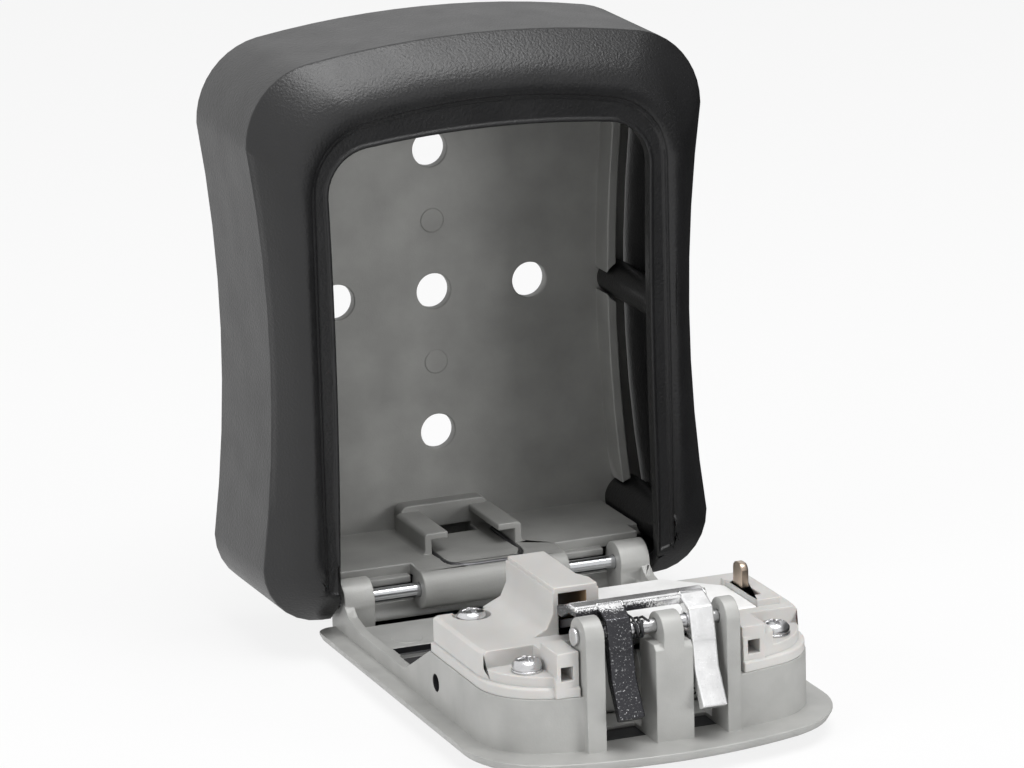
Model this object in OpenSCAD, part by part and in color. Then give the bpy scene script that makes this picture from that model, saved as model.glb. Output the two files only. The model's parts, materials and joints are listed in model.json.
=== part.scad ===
// Combination key safe for a wall. A black moulded shell is screwed over a cast housing, and a cast
// door, hinged at the bottom, carries the dials, the release slider, the latch and the weather shutter.
// Frame: X to the right, -Y to the front, Z up. The origin is the centre wall hole, on the wall plane.
// Door pieces are drawn on the closed door with the hinge axis as their origin: their Y, called t below,
// runs into the case, and their Z, called v below, runs up the door. in_door() then swings them open.

/* [Case] */
// Width of the shell across its widest part
case_w = 94; // [91:0.5:100]
// Narrowing of each side at the waist
waist_in = 3.1; // [2:0.1:4]
// Top of the shell above the centre hole
case_top = 57; // [55:0.5:64]
// Bottom of the shell below the centre hole
case_bottom = 56.2; // [54:0.2:62]
// Depth of the side walls, from the wall plane to the front crease
side_d = 28.8; // [26:0.1:30]
// How far the sloped front border stands ahead of the crease
bezel_d = 7.8; // [7.2:0.1:9]
// Width of the sloped front border
bezel_w = 9; // [8.4:0.1:10]
// Wall thickness of the shell
shell_wall = 2.6; // [2.2:0.1:3]
// Radius of the shell's upper corners
top_r = 15.5; // [14:0.5:17]
// Radius of the shell's lower corners
foot_r = 11.5; // [10:0.5:13]
// Width of the ledge that the door's skin closes on
ledge_w = 3.3; // [2.6:0.1:3.6]

/* [Housing] */
// Thickness of the back plate
plate_t = 2.4; // [2:0.1:3]
// Thickness of the side walls
wall_t = 2; // [1.6:0.1:2.4]
// Depth of the side walls, from the wall plane to their front edge
wall_d = 20.6; // [16:0.2:21]
// Thickness of the floor
floor_t = 2.4; // [2:0.1:2.8]
// Diameter of the five wall holes
wall_hole_d = 7.2; // [5:0.1:8]
// Distance between the left and right wall holes
hole_pitch_x = 41; // [34:0.5:46]
// Distance between the upper and lower wall holes
hole_pitch_z = 58; // [48:0.5:62]
// Diameter of the hinge barrel
barrel_d = 7.8; // [7:0.1:8.2]
// Diameter of the hinge pin
hinge_pin_d = 2.8; // [2.4:0.1:3.2]
// Diameter of the clip wire
wire_d = 1; // [0.8:0.1:1.2]

/* [Door] */
// Gap round the closed door's skin
door_gap = 0.4; // [0.2:0.1:0.6]
// Thickness of the door's skin
skin_t = 2.3; // [2.2:0.1:2.6]
// Height of the box behind the skin
box_h = 10.3; // [9.6:0.1:11]
// Thickness of the box walls
box_wall = 2; // [1.6:0.1:2.4]
// Width of the black front insert
insert_w = 42; // [41:0.2:44]
// Length of the black front insert
insert_l = 76.4; // [76:0.2:78]
// Length of the sliding shutter
shutter_l = 33; // [30:0.5:34]

/* [Lock] */
// Diameter of a dial
dial_d = 16; // [15.4:0.1:16.6]
// Width of a dial
dial_w = 6; // [5:0.1:6.2]
// Distance from one dial to the next
dial_pitch = 7.6; // [7.5:0.05:7.8]
// Diameter of the dial shaft
shaft_d = 3; // [2.6:0.1:3.4]
// Diameter of the latch pin
latch_pin_d = 2.5; // [2.2:0.1:2.6]
// Width of each latch arm
arm_w = 4.9; // [4:0.1:5.2]
// Thickness of each latch arm
arm_t = 2.2; // [1.8:0.1:2.4]
// Travel of the release slider
release_travel = 5; // [3:0.5:5]
// Thickness of the cover's roof and walls
cover_wall = 1.2; // [1:0.1:1.4]
// Height of the tower over the cover's roof
tower_h = 8.9; // [8.6:0.1:10]

/* [Hidden] */
$fn = 48;

// Angle at which the door stands open
door_open = 90;
// Overrun of every cut, and the depth by which fused shapes of one piece enter each other
over = 0.4;
// Air between pieces that move, between pieces dropped into place, and round a turning pin
run_gap = 0.3;
fit_gap = 0.1;
pin_gap = 0.05;

// Steps of the outlines: lower corner, side, upper corner and arch; and of the sloped border
corner_n = 7;
side_n = 8;
top_n = 10;
arch_n = 6;
bezel_n = 7;
waist_drop = 3.45;
span_share = 0.737;
bulge_span = span_share * (case_top + case_bottom) / 2;

function mix(a, b, s) = a + (b - a) * s;
function lerp(a, b, s) = [for (i = [0:len(a) - 1]) mix(a[i], b[i], s)];
function ring(pts, y) = [for (p = pts) [p[0], y, p[1]]];

// Half-width of a side at height z: a parabola with its waist below the centre
function half_w(z, waist, full) = waist + (full - waist) * pow((z + waist_drop) / bulge_span, 2);

// Counter-clockwise outline seen from the front, always with the same number of points: lower corner,
// side, upper corner and arched top, then the same mirrored
function outline(waist, full, top, rise, bottom, r_top, r_low) =
    let(lean = atan(2 * rise / (full - r_top)),
        zc = top - rise - r_top * cos(lean),
        xc = half_w(zc, waist, full) - r_top,
        xe = xc + r_top * sin(lean),
        zb = bottom + r_low,
        xb = half_w(zb, waist, full) - r_low,
        half = concat(
            [for (i = [0:corner_n]) let(a = 90 * i / corner_n - 90) [xb + r_low * cos(a), zb + r_low * sin(a)]],
            [for (i = [1:side_n]) let(z = mix(zb, zc, i / side_n)) [half_w(z, waist, full), z]],
            [for (i = [1:top_n]) let(a = (90 - lean) * i / top_n) [xc + r_top * cos(a), zc + r_top * sin(a)]],
            [for (i = [1:arch_n]) let(x = xe * (1 - i / arch_n)) [x, top - rise * pow(x / xe, 2)]]))
    concat(half, [for (i = [len(half) - 2:-1:0]) [-half[i][0], half[i][1]]]);

// Outline of even thickness along a path of points
function unit(p) = p / norm(p);
function path_side(pts, i, h) =
    let(last = len(pts) - 1,
        d0 = i > 0 ? unit(pts[i] - pts[i - 1]) : unit(pts[1] - pts[0]),
        d1 = i < last ? unit(pts[i + 1] - pts[i]) : d0,
        m = unit(d0 + d1))
    pts[i] + [-m[1], m[0]] * h / (m * d0);
function strip(pts, w) = concat(
    [for (i = [0:len(pts) - 1]) path_side(pts, i, w / 2)],
    [for (i = [len(pts) - 1:-1:0]) path_side(pts, i, -w / 2)]);

// Faces between rings of n points, ring k to ring k + 1
function side_faces(n, k, next) = [for (i = [0:n - 1]) let(j = (i + 1) % n) each [
    [k * n + i, next * n + i, next * n + j],
    [k * n + i, next * n + j, k * n + j]]];

// Solid through rings given from back to front
module loft(rings) {
    n = len(rings[0]);
    m = len(rings);
    polyhedron([for (r = rings) each r], concat(
        [[for (i = [0:n - 1]) i]],
        [[for (i = [n - 1:-1:0]) (m - 1) * n + i]],
        [for (k = [0:m - 2]) each side_faces(n, k, k + 1)]));
}

// Hollow skin through a closed loop of rings
module ring_loft(rings) {
    n = len(rings[0]);
    m = len(rings);
    polyhedron([for (r = rings) each r], [for (k = [0:m - 1]) each side_faces(n, k, (k + 1) % m)]);
}

// 2D shape in X and Z, as thick as from y0 to y1
module slab(y0, y1) translate([0, y1, 0]) rotate([90, 0, 0]) linear_extrude(y1 - y0) children();
// 2D shape in Y and Z, as wide as from x0 to x1
module plate_x(x0, x1) translate([x0, 0, 0]) rotate([90, 0, 90]) linear_extrude(x1 - x0) children();
// Box between two limits on each axis
module block(x, y, z) translate([x[0], y[0], z[0]]) cube([x[1] - x[0], y[1] - y[0], z[1] - z[0]]);
// Cylinder along X between two limits, round the axis at y and z
module rod(x, y, z, r) translate([x[0], y, z]) rotate([0, 90, 0]) cylinder(r = r, h = x[1] - x[0]);
// Cylinder along Y between two limits, round the axis at x and z
module peg(x, y, z, r) translate([x, y[0], z]) rotate([-90, 0, 0]) cylinder(r = r, h = y[1] - y[0]);
// The children on the right side and mirrored on the left
module both() for (s = [0, 1]) mirror([s, 0, 0]) children();

// Shell, closed round a cavity; its rings run from the wall edge over the border and back inside
case_hw = case_w / 2;
waist_hw = case_hw - waist_in;
case_rise = 2.9;
border_top = 10.2;
lip_w = 1.3;
lip_drop = 0.5;
ledge_drop = 1;
ledge_in = 0.7;
ledge_top_w = 5.9;
ledge_t = 2.7;
ledge_r = 9;
ledge_rise = 1.5;
mouth_r = 13.5;
mouth_rise = 2.6;
rim_low_r = 6;
nib_r = 0.5;
border_share = 0.55;
post_reach = 1.2;
side_draft = 0.4;
rim_hw = case_hw - bezel_w;
rim_top = case_top - border_top;
rim_y = side_d + bezel_d;
mouth_hw = rim_hw - lip_w;
mouth_top = rim_top - lip_w;
ledge_y = rim_y - ledge_drop;
ledge_hw = mouth_hw - ledge_w;
ledge_waist = ledge_hw - ledge_in;
ledge_top = mouth_top - ledge_top_w;
rim_bottom = bezel_w - case_bottom;

function shell_outline(d) = outline(waist_hw - d, case_hw - d, case_top - d, case_rise, d - case_bottom,
    top_r - d, foot_r - d);
function rim_outline() = outline(rim_hw, rim_hw, rim_top, mouth_rise, rim_bottom, mouth_r + lip_w, rim_low_r);
function mouth_outline() = outline(mouth_hw, mouth_hw, mouth_top, mouth_rise, rim_bottom + lip_w, mouth_r,
    rim_low_r - lip_w);
function ledge_outline() = outline(ledge_waist, ledge_hw, ledge_top, ledge_rise, rim_bottom + lip_w + ledge_in,
    ledge_r, nib_r);

// Screw posts: half-width place, height and radius
mid_post_in = 5.3;
mid_post_z = -1.2;
mid_post_r = 3.6;
low_post_in = 6.8;
low_post_up = 8.7;
low_post_r = 4.5;
top_post_in = 12;
top_post_down = 8.4;
top_post_r = 3.2;
posts = [
    [waist_hw - mid_post_in, mid_post_z, mid_post_r],
    [case_hw - low_post_in, low_post_up - case_bottom, low_post_r],
    [case_hw - top_post_in, case_top - top_post_down, top_post_r]];
pilot_r = 1.3;
pilot_l = 14;
// Space between the legs for the door's hinge
leg_gap_up = 12;
leg_gap_y = 20;

module shell() color([0.15, 0.15, 0.16]) difference() {
    union() {
        ring_loft(concat(
            [ring(shell_outline(-side_draft), 0)],
            [for (i = [0:bezel_n]) let(s = i / bezel_n)
                ring(lerp(shell_outline(0), rim_outline(), s), -side_d - bezel_d * sin(90 * s))],
            [ring(mouth_outline(), lip_drop - rim_y),
             ring(mouth_outline(), -ledge_y),
             ring(ledge_outline(), -ledge_y),
             ring(ledge_outline(), ledge_t - ledge_y),
             ring(lerp(shell_outline(shell_wall), rim_outline(), border_share), ledge_t - ledge_y),
             ring(shell_outline(shell_wall), post_reach - side_d),
             ring(shell_outline(shell_wall - side_draft), 0)]));
        both() for (p = posts) peg(p[0], [-side_d - post_reach, -plate_t - fit_gap], p[1], p[2]);
    }
    both() for (p = posts) peg(p[0], [-plate_t - pilot_l, over - plate_t], p[1], pilot_r);
    block([-ledge_hw, ledge_hw], [-rim_y - over, -leg_gap_y], [-case_bottom - over, leg_gap_up - case_bottom]);
    block([-mouth_hw, mouth_hw], [-rim_y - over, -ledge_y], [-case_bottom - over, rim_bottom + lip_w + rim_low_r]);
}

// Hinge axis: how far above the skin's inner face of the open door, and above the case's bottom
axis_up = 5.9;
axis_in = 3.8;
seat_gap = 0.1;
hinge_depth = ledge_y + seat_gap - axis_up;
hinge_drop = case_bottom - axis_in;
barrel_hw = 15.4;

module in_door() translate([0, -hinge_depth, -hinge_drop]) rotate([door_open, 0, 0]) children();

// Housing: back plate, side walls, floor with the hinge barrel, and the strike for the latch
house_in = 9.4;
house_curve = 2.7;
house_r = 12;
house_rise = 1.6;
house_up = 4.9;
house_low_r = 2;
low_wall = 6;
low_wall_down = 9;
plate_gap = 0.25;
floor_up = 4.3;
floor_back = 4.2;
relief_r = 4.7;
notch_gap = 0.6;
house_hw = case_hw - house_in;
house_waist = house_hw - house_curve;
house_top = ledge_top + house_up;
floor_z = floor_up - hinge_drop;
floor_y = floor_back - hinge_depth;
floor_hw = ledge_hw - run_gap;
web_dip = 0.2;
mark_r = 2.5;
mark_share = 0.25;
mark_h = 0.15;
stop_w = 9;
stop_gap = 1;
stop_l = 1.7;
stop_t = 1.5;
stop_down = 2;
head_r = 2.4;
head_t = 1.5;
case_screw_r = 1.2;

function house_outline(d, bottom) = outline(house_waist + d, house_hw + d, house_top + d, house_rise, bottom,
    house_r + d, house_low_r);

// Places of the five wall holes
hole_places = concat([[0, 0]],
    [for (s = [-1, 1]) [s * hole_pitch_x / 2, 0]],
    [for (s = [-1, 1]) [0, s * hole_pitch_z / 2]]);

// Strike: a tongue of the top wall with a lip behind which the latch catches
latch_x = -1.2;
strike_hw = 14;
strike_lip = 2.1;
strike_y = ledge_t + fit_gap - ledge_y;
strike_low = ledge_top + run_gap;
strike_drop = 0.6;

// Channel on the floor: a block at the back and two rails with lips
channel_x = -0.6;
channel_hw = 8.8;
rail_t = 1.5;
rail_h = 4.2;
rail_lip = 3.5;
rail_lip_t = 1.4;
rail_r = 0.9;
rail_y0 = 22;
rail_y1 = 5.6;
hump_h = 5.4;
hump_hw = 9.4;
hump_r = 1.6;
slot_hw = 5.5;
slot_y0 = 10;
slot_y1 = 3;

// Half profile of a rail: foot fillet, outer face, rounded shoulder and inward lip
function rail_profile() = [
    [channel_hw, -over],
    [channel_hw + rail_t + rail_r, -over],
    [channel_hw + rail_t + rail_r, 0],
    for (a = [0:30:90]) [channel_hw + rail_t + rail_r * (1 - sin(a)), rail_r * (1 - cos(a))],
    for (a = [0:30:90]) [channel_hw + rail_t - rail_r * (1 - cos(a)), rail_h - rail_r * (1 - sin(a))],
    [channel_hw - rail_lip, rail_h],
    [channel_hw - rail_lip, rail_h - rail_lip_t],
    [channel_hw, rail_h - rail_lip_t]];

module channel() translate([channel_x, 0, floor_z]) {
    both() slab(-rail_y0, -rail_y1) polygon(rail_profile());
    slab(-rail_y1 - over, over - plate_t) polygon([
        [-hump_hw, -over],
        [hump_hw, -over],
        for (a = [0:30:90]) [hump_hw - hump_r * (1 - cos(a)), hump_h - hump_r * (1 - sin(a))],
        for (a = [90:-30:0]) [-hump_hw + hump_r * (1 - cos(a)), hump_h - hump_r * (1 - sin(a))]]);
}

// Clip wire: a flat hairpin that lies half sunk in the floor, tilted down to the barrel
clip_hw = 8.3;
clip_r = 5;
clip_back = 11;
clip_front = 30.3;
clip_tilt = 2.4;
clip_up = 0.1;
clip_l = clip_front - clip_back - clip_r;

module clip_path(r) translate([channel_x, -clip_back, floor_z + clip_up]) rotate([clip_tilt, 0, 0]) {
    both() {
        peg(clip_hw, [-clip_l, 0], 0, r);
        translate([clip_hw - clip_r, -clip_l, 0]) rotate([0, 0, -90]) rotate_extrude(angle = 90)
            translate([clip_r, 0]) circle(r);
    }
    rod([clip_r - clip_hw, clip_hw - clip_r], -clip_l - clip_r, 0, r);
}

module clip_wire() color([0.45, 0.45, 0.46]) clip_path(wire_d / 2);

module housing() color([0.47, 0.47, 0.46]) difference() {
    union() {
        slab(-plate_t, 0) polygon(shell_outline(shell_wall + plate_gap));
        difference() {
            slab(-wall_d, over - plate_t) polygon(house_outline(wall_t, floor_z - floor_t));
            slab(-wall_d - over, over) polygon(house_outline(0, floor_z));
            // The side walls stay low below the strike's corner
            both() block([house_waist - over, case_hw], [-wall_d - over, -plate_t - low_wall],
                [floor_z + over, house_top - low_wall_down]);
        }
        block([-floor_hw, floor_hw], [floor_y, over - wall_d], [floor_z - floor_t, floor_z]);
        // Barrel and the web that carries it
        rod([-barrel_hw, barrel_hw], -hinge_depth, -hinge_drop, barrel_d / 2);
        plate_x(-barrel_hw, barrel_hw) polygon([
            [floor_y + over, floor_z],
            [floor_y + over, floor_z - floor_t],
            [-hinge_depth, floor_z - floor_t],
            [-hinge_depth, barrel_d / 2 - hinge_drop - web_dip],
            [floor_y, floor_z]]);
        // Stops for the open door's ears
        both() block([stop_in, stop_out], [floor_y - stop_l, floor_y + over],
            [floor_z - stop_down - stop_t, floor_z - stop_down]);
        // Tongue of the strike and its lip
        block([latch_x - strike_hw, latch_x + strike_hw], [strike_y, over - wall_d],
            [house_top - strike_drop, house_top + wall_t - strike_drop]);
        block([latch_x - strike_hw, latch_x + strike_hw], [strike_y, strike_y + strike_lip],
            [strike_low, house_top + wall_t - strike_drop]);
        channel();
        for (s = [-1, 1]) peg(0, [-plate_t - mark_h, over - plate_t], s * mark_share * hole_pitch_z, mark_r);
    }
    for (h = hole_places) peg(h[0], [-plate_t - over, over], h[1], wall_hole_d / 2);
    // Countersunk holes for the case screws, and room for the shell's posts
    both() for (p = posts) {
        peg(p[0], [-plate_t - over, over], p[1], case_screw_r + pin_gap);
        translate([p[0], 0, p[1]]) rotate([90, 0, 0]) translate([0, 0, -over])
            cylinder(r1 = head_r + pin_gap + over, r2 = case_screw_r + pin_gap, h = head_t + over);
        peg(p[0], [-side_d, -plate_t], p[1], p[2] + notch_gap);
    }
    both() rod([stop_out, floor_hw + over], -hinge_depth, -hinge_drop, relief_r);
    rod([-barrel_hw - over, barrel_hw + over], -hinge_depth, -hinge_drop, hinge_pin_d / 2);
    block([channel_x - slot_hw, channel_x + slot_hw], [-slot_y0, -slot_y1], [floor_z - floor_t - over, floor_z + over]);
    clip_path(wire_d / 2 + pin_gap);
}

module case_screws() color([0.6, 0.6, 0.62]) both() for (p = posts)
    translate([p[0], -fit_gap, p[1]]) rotate([90, 0, 0]) rotate_extrude() polygon([
        [0, 0],
        [head_r - fit_gap, 0],
        [case_screw_r, head_t - fit_gap],
        [case_screw_r, plate_t + pilot_l - head_t],
        [0, plate_t + pilot_l - head_t + case_screw_r]]);

module hinge_pin() color([0.75, 0.76, 0.78])
    rod([-pin_hw, pin_hw], -hinge_depth, -hinge_drop, hinge_pin_d / 2);

// Dials: their axis lies so that a rim stands just proud of the skin
skin_back = -axis_up;
skin_front = skin_back - skin_t;
dial_r = dial_d / 2;
dial_proud = 0.2;
dial_t = skin_front + dial_r - dial_proud;

// Door levels, t: pan floor, box top, cover top; and its reaches, v: ends of the box and the cover
pan_t = 0.8;
skirt_h = 2;
cover_room = 3.9;
pan_top = skin_back + pan_t;
box_top = skin_back + box_h;
skirt_top = box_top + skirt_h;
cover_top = dial_t + dial_r + cover_room;
box_gap = 0.4;
top_gap = 1.3;
end_gap = 2.2;
cover_l = 39.5;
door_hw = mouth_hw - door_gap;
door_top = mouth_top - top_gap + hinge_drop;
box_hw = ledge_waist - box_gap;
end_v = ledge_top + hinge_drop - end_gap;
cover_v = end_v - cover_l;
box_r = 13;
box_rise = 3.1;

// Skin: closed edge and small roundings of its outer face
skin_low = 2.5;
skin_low_r = 3;
skin_r = 18;
skin_rise = 3.7;
skin_round = 1.9;
round_in_share = 0.35;
function skin_outline(d) = outline(door_hw - d, door_hw - d, door_top - d, skin_rise, d - skin_low,
    skin_r - d, skin_low_r - d);
function box_outline(d, bottom) = outline(box_hw - d, box_hw - d, end_v - d, box_rise, bottom, box_r - d, nib_r);

// Deck under the hinge side, side ribs, ears
pan_v = 5;
deck_h = 1.6;
deck_v0 = 5.5;
rib_shares = [[0.06, 0.61], [0.12, 0.38], [0.235, 0.27], [0.725, 0.27], [1, 1]];
ear_r = 4.1;
ear_in = 4.1;
ear_w = 6.2;
ear_x1 = door_hw - ear_in;
ear_x0 = ear_x1 - ear_w;
pin_hw = ear_x1 - run_gap;
stop_out = ear_x0 - stop_gap;
stop_in = stop_out - stop_w;
ear_v0 = -3.5;
gusset_x = ear_x0 + ear_w / 2;
gusset_t = 1.2;
gusset_v = 9;
gusset_h = 4.4;
eject_x = -24;
eject_v = 16;
eject_r = 3;

// Latch posts: two outer ones and a stepped middle one
pin_in = 4.5;
pin_rise = 3.6;
post_d = 7.5;
post_up = 3.7;
post_in = 12;
post_outs = [15.7, 14.7];
mid_x0 = -3.3;
mid_x1 = 4.1;
mid_step = 1.7;
mid_low = 1;
mid_down = 2.6;
mid_r = 1;
slot_l = 10.6;
pin_v = end_v - pin_in;
pin_t = cover_top + pin_rise;

// Side view of a post with a round top, in t and v
function post_profile(v0, v1, top) = let(r = (v1 - v0) / 2) [
    [skin_back, v0],
    for (a = [0:15:180]) [top - r + r * sin(a), v0 + r - r * cos(a)],
    [skin_back, v1]];

// Screws of the cover: places in from the box's side and end; bosses, pilots and heads
back_screw_in = 7.3;
back_screw_up = 3.5;
front_screw_in = 7.7;
front_screw_down = 9.5;
screws = [
    [back_screw_in - box_hw, cover_v + back_screw_up],
    [front_screw_in - box_hw, end_v - front_screw_down],
    [box_hw - front_screw_in, end_v - front_screw_down]];
boss_r = 3;
screw_r = 1.45;
screw_l = 8;
pan_head_r = 2.8;
pan_head_h = 2;
head_shares = [[1, 0.45], [0.82, 0.8], [0.5, 0.97]];
washer_r = 2.9;
washer_t = 0.5;

// Opening for the insert and the dials, tapped hole in the left wall
tap_down = 36.6;
tap_t = -1;
tap_r = 1.7;
tap_l = 3.9;
tap_pad = 3;

// Dial shaft and the cheeks that hold it
dial_down = 24.5;
dial_v = end_v - dial_down;
insert_reach = 19.1;
insert_v = dial_v + insert_reach - insert_l;
shaft_r = shaft_d / 2;
cheek_in = 1.25;
cheek_t = 1.6;
cheek_l = 8;
cheek_up = 3;
dial_n = 4;
window_share = 0.78;
room_share = 0.88;
cheek_x = (dial_n - 1) / 2 * dial_pitch + dial_w / 2 + cheek_in;

module door() color([0.6, 0.6, 0.59]) in_door() difference() {
    union() {
        loft([
            ring(skin_outline(0), skin_back),
            ring(skin_outline(0), skin_front + skin_round),
            ring(skin_outline(skin_round * round_in_share), skin_front + skin_round * round_in_share),
            ring(skin_outline(skin_round), skin_front)]);
        slab(skin_back - over, pan_top) polygon(box_outline(0, pan_v));
        block([over - box_hw, box_hw - over], [pan_top - over, skin_back + deck_h], [deck_v0, deck_v1]);
        // Walls of the box, open towards the hinge, and the low ribs that run on to the ears
        difference() {
            slab(pan_top - over, box_top) polygon(box_outline(0, cover_v));
            slab(pan_top - over - over, box_top + over) polygon(box_outline(box_wall, cover_v - over));
        }
        both() plate_x(box_hw - box_wall, box_hw) polygon(concat(
            [[skin_back - over, cover_v + over], [skin_back - over, rib_shares[0][0] * cover_v]],
            [for (s = rib_shares) [skin_back + s[1] * box_h, s[0] * cover_v]],
            [[box_top, cover_v + over]]));
        both() {
            rod([ear_x0, ear_x1], 0, 0, ear_r);
            block([ear_x0, ear_x1], [skin_back - over, 0], [ear_v0, axis_in]);
            plate_x(gusset_x, gusset_x + gusset_t) polygon([
                [skin_back - over, 0], [skin_back - over, gusset_v], [skin_back, gusset_v], [skin_back + gusset_h, 0]]);
        }
        peg(eject_x, [pan_top, skin_back + deck_h + mark_h], eject_v, eject_r);
        // Latch posts
        for (x = [[-post_outs[0], -post_in], [post_in, post_outs[1]]]) plate_x(latch_x + x[0], latch_x + x[1])
            polygon(post_profile(end_v - post_d, end_v, pin_t + post_up));
        plate_x(mid_x0 + mid_step, mid_x1 - mid_step)
            polygon(post_profile(end_v - post_d, end_v, pin_t + post_up - mid_low));
        plate_x(mid_x0, mid_x1) polygon([
            [skin_back, end_v - post_d],
            [pin_t - mid_down, end_v - post_d],
            [pin_t - mid_down, end_v - mid_r],
            [pin_t - mid_down - mid_r, end_v],
            [skin_back, end_v]]);
        // Screw bosses, dial shaft cheeks, pad of the tapped hole
        for (s = screws) peg(s[0], [pan_top - over, box_top], s[1], boss_r);
        both() block([cheek_x, cheek_x + cheek_t], [pan_top - over, dial_t + cheek_up],
            [dial_v - cheek_l / 2, dial_v + cheek_l / 2]);
        block([box_wall - box_hw - over, tap_l - box_hw], [pan_top - over, tap_t + tap_pad],
            [end_v - tap_down - tap_pad, end_v - tap_down + tap_pad]);
    }
    both() rod([ear_x0 - over, ear_x1 + over], 0, 0, hinge_pin_d / 2 + pin_gap);
    rod([latch_x - post_outs[0] - over, latch_x + post_outs[1] + over], pin_t, pin_v, latch_pin_d / 2 + pin_gap);
    for (s = screws) peg(s[0], [pan_top, box_top + over], s[1], screw_r + pin_gap);
    rod([-cheek_x - cheek_t - over, cheek_x + cheek_t + over], dial_t, dial_v, shaft_r + pin_gap);
    rod([-box_hw - over, tap_l - box_hw - over], tap_t, end_v - tap_down, tap_r);
    // Slots in which the latch arms swing
    for (x = [[latch_x - post_in, mid_x0], [mid_x1, latch_x + post_in]]) block(x,
        [skin_back, box_top + over], [end_v - slot_l, end_v + over]);
    block([-insert_w / 2 - fit_gap, insert_w / 2 + fit_gap], [skin_front - over, skin_back],
        [insert_v - fit_gap, insert_v + insert_l + fit_gap]);
    // Openings for the dials and for the release button
    block([fit_gap - cheek_x, cheek_x - fit_gap], [skin_back - over, pan_top + over],
        [dial_v - dial_r * room_share, dial_v + dial_r * room_share]);
    block([-button_hw - run_gap, button_hw + run_gap], [skin_back - over, skin_back + deck_h + over],
        [button_v - release_travel - run_gap, button_v + button_l + run_gap]);
}

// Front insert: a tray with undercut side grooves, in which the shutter slides
insert_proud = 0.7;
tray_floor = 1.1;
tray_wall = 1;
tray_lip = 1.1;
groove_w = 2;
button_hw = 3;
button_l = 3;
button_down = 38.5;
button_v = end_v - button_down;
insert_front = skin_front - insert_proud;
tray_t = skin_back - tray_floor;
groove_hw = insert_w / 2 - tray_wall;
tray_hw = groove_hw - groove_w;
function dial_x(i) = (i - (dial_n + 1) / 2) * dial_pitch;

module front_insert() color([0.12, 0.12, 0.13]) in_door() difference() {
    block([-insert_w / 2, insert_w / 2], [insert_front, skin_back], [insert_v, insert_v + insert_l]);
    block([-tray_hw, tray_hw], [insert_front - over, tray_t], [insert_v + tray_wall, insert_v + insert_l - tray_wall]);
    block([-groove_hw, groove_hw], [insert_front + tray_lip, tray_t],
        [insert_v + tray_wall, insert_v + insert_l - tray_wall]);
    for (i = [1:dial_n]) block([dial_x(i) - dial_w / 2 - run_gap, dial_x(i) + dial_w / 2 + run_gap],
        [insert_front, skin_back + over],
        [dial_v - dial_r * window_share, dial_v + dial_r * window_share]);
    block([-button_hw - run_gap, button_hw + run_gap], [insert_front, skin_back + over],
        [button_v - release_travel - run_gap, button_v + button_l + run_gap]);
}

// Shutter: a tunnel-shaped cover on two runners, drawn in its open place below the dials
shutter_rest = 0.4;
shutter_crown = 1;
crown_share = 0.25;
shutter_wall = 1.1;
crown_in = 2.9;
runner_gap = 0.08;
crown_gap = 0.3;
grip_n = 5;
grip_pitch = 2.4;
grip_w = 1;
grip_h = 0.4;
shutter_v = insert_v + tray_wall + shutter_rest;
crown_t = insert_front - shutter_crown;
crown_hw = tray_hw - crown_gap;

module shutter() color([0.1, 0.1, 0.11]) in_door() difference() {
    union() {
        translate([0, 0, shutter_v]) linear_extrude(shutter_l) polygon([
            [groove_hw - runner_gap - fit_gap, tray_t - runner_gap],
            [groove_hw - runner_gap - fit_gap, insert_front + tray_lip + runner_gap],
            [crown_hw, insert_front + tray_lip + runner_gap],
            [crown_hw, insert_front],
            [crown_hw - crown_in / 2, crown_t + shutter_crown * crown_share],
            [crown_hw - crown_in, crown_t],
            [crown_in - crown_hw, crown_t],
            [crown_in / 2 - crown_hw, crown_t + shutter_crown * crown_share],
            [-crown_hw, insert_front],
            [-crown_hw, insert_front + tray_lip + runner_gap],
            [runner_gap + fit_gap - groove_hw, insert_front + tray_lip + runner_gap],
            [runner_gap + fit_gap - groove_hw, tray_t - runner_gap]]);
        for (i = [1:grip_n]) block([crown_in - crown_hw, crown_hw - crown_in], [crown_t - grip_h, crown_t + over],
            [shutter_v + i * grip_pitch, shutter_v + i * grip_pitch + grip_w]);
    }
    block([crown_in / 2 - crown_hw, crown_hw - crown_in / 2], [crown_t + shutter_wall, skin_back],
        [shutter_v - over, shutter_v + shutter_l + over]);
}

// Release slider: a plate under the dials with a front button, and an arm round the first dial that
// carries the wedge into the tower
slide_gap = 0.1;
slide_t = 1.1;
slide_in = 5.3;
slide_hw = box_hw - slide_in;
slide_l = 18;
slide_down = 41.5;
neck_hw0 = 19.9;
neck_hw1 = 17;
cap_hw = 7;
cap_l = 6;
cap_t = 1.3;
cap_back = 1.5;
strip_w = 2.2;
strip_l = 3.4;
strip_down = 28.5;
finger_air = 0.8;
finger_t = 1.2;
wedge_x0 = -14.6;
wedge_x1 = -9.8;
wedge_t = 1.6;
wedge_slope = 0.36;
wedge_up = 0.2;
wedge_at = 10;
wedge_end = 4.5;
slide_t0 = pan_top + slide_gap;
slide_v1 = end_v - slide_down;
deck_v1 = slide_v1 - slide_l - release_travel - run_gap;
strip_v1 = end_v - strip_down;
finger_t0 = dial_t + dial_r + finger_air;
function wedge_top(v) = pin_t + wedge_up + wedge_slope * (v - pin_v + wedge_at);

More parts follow.
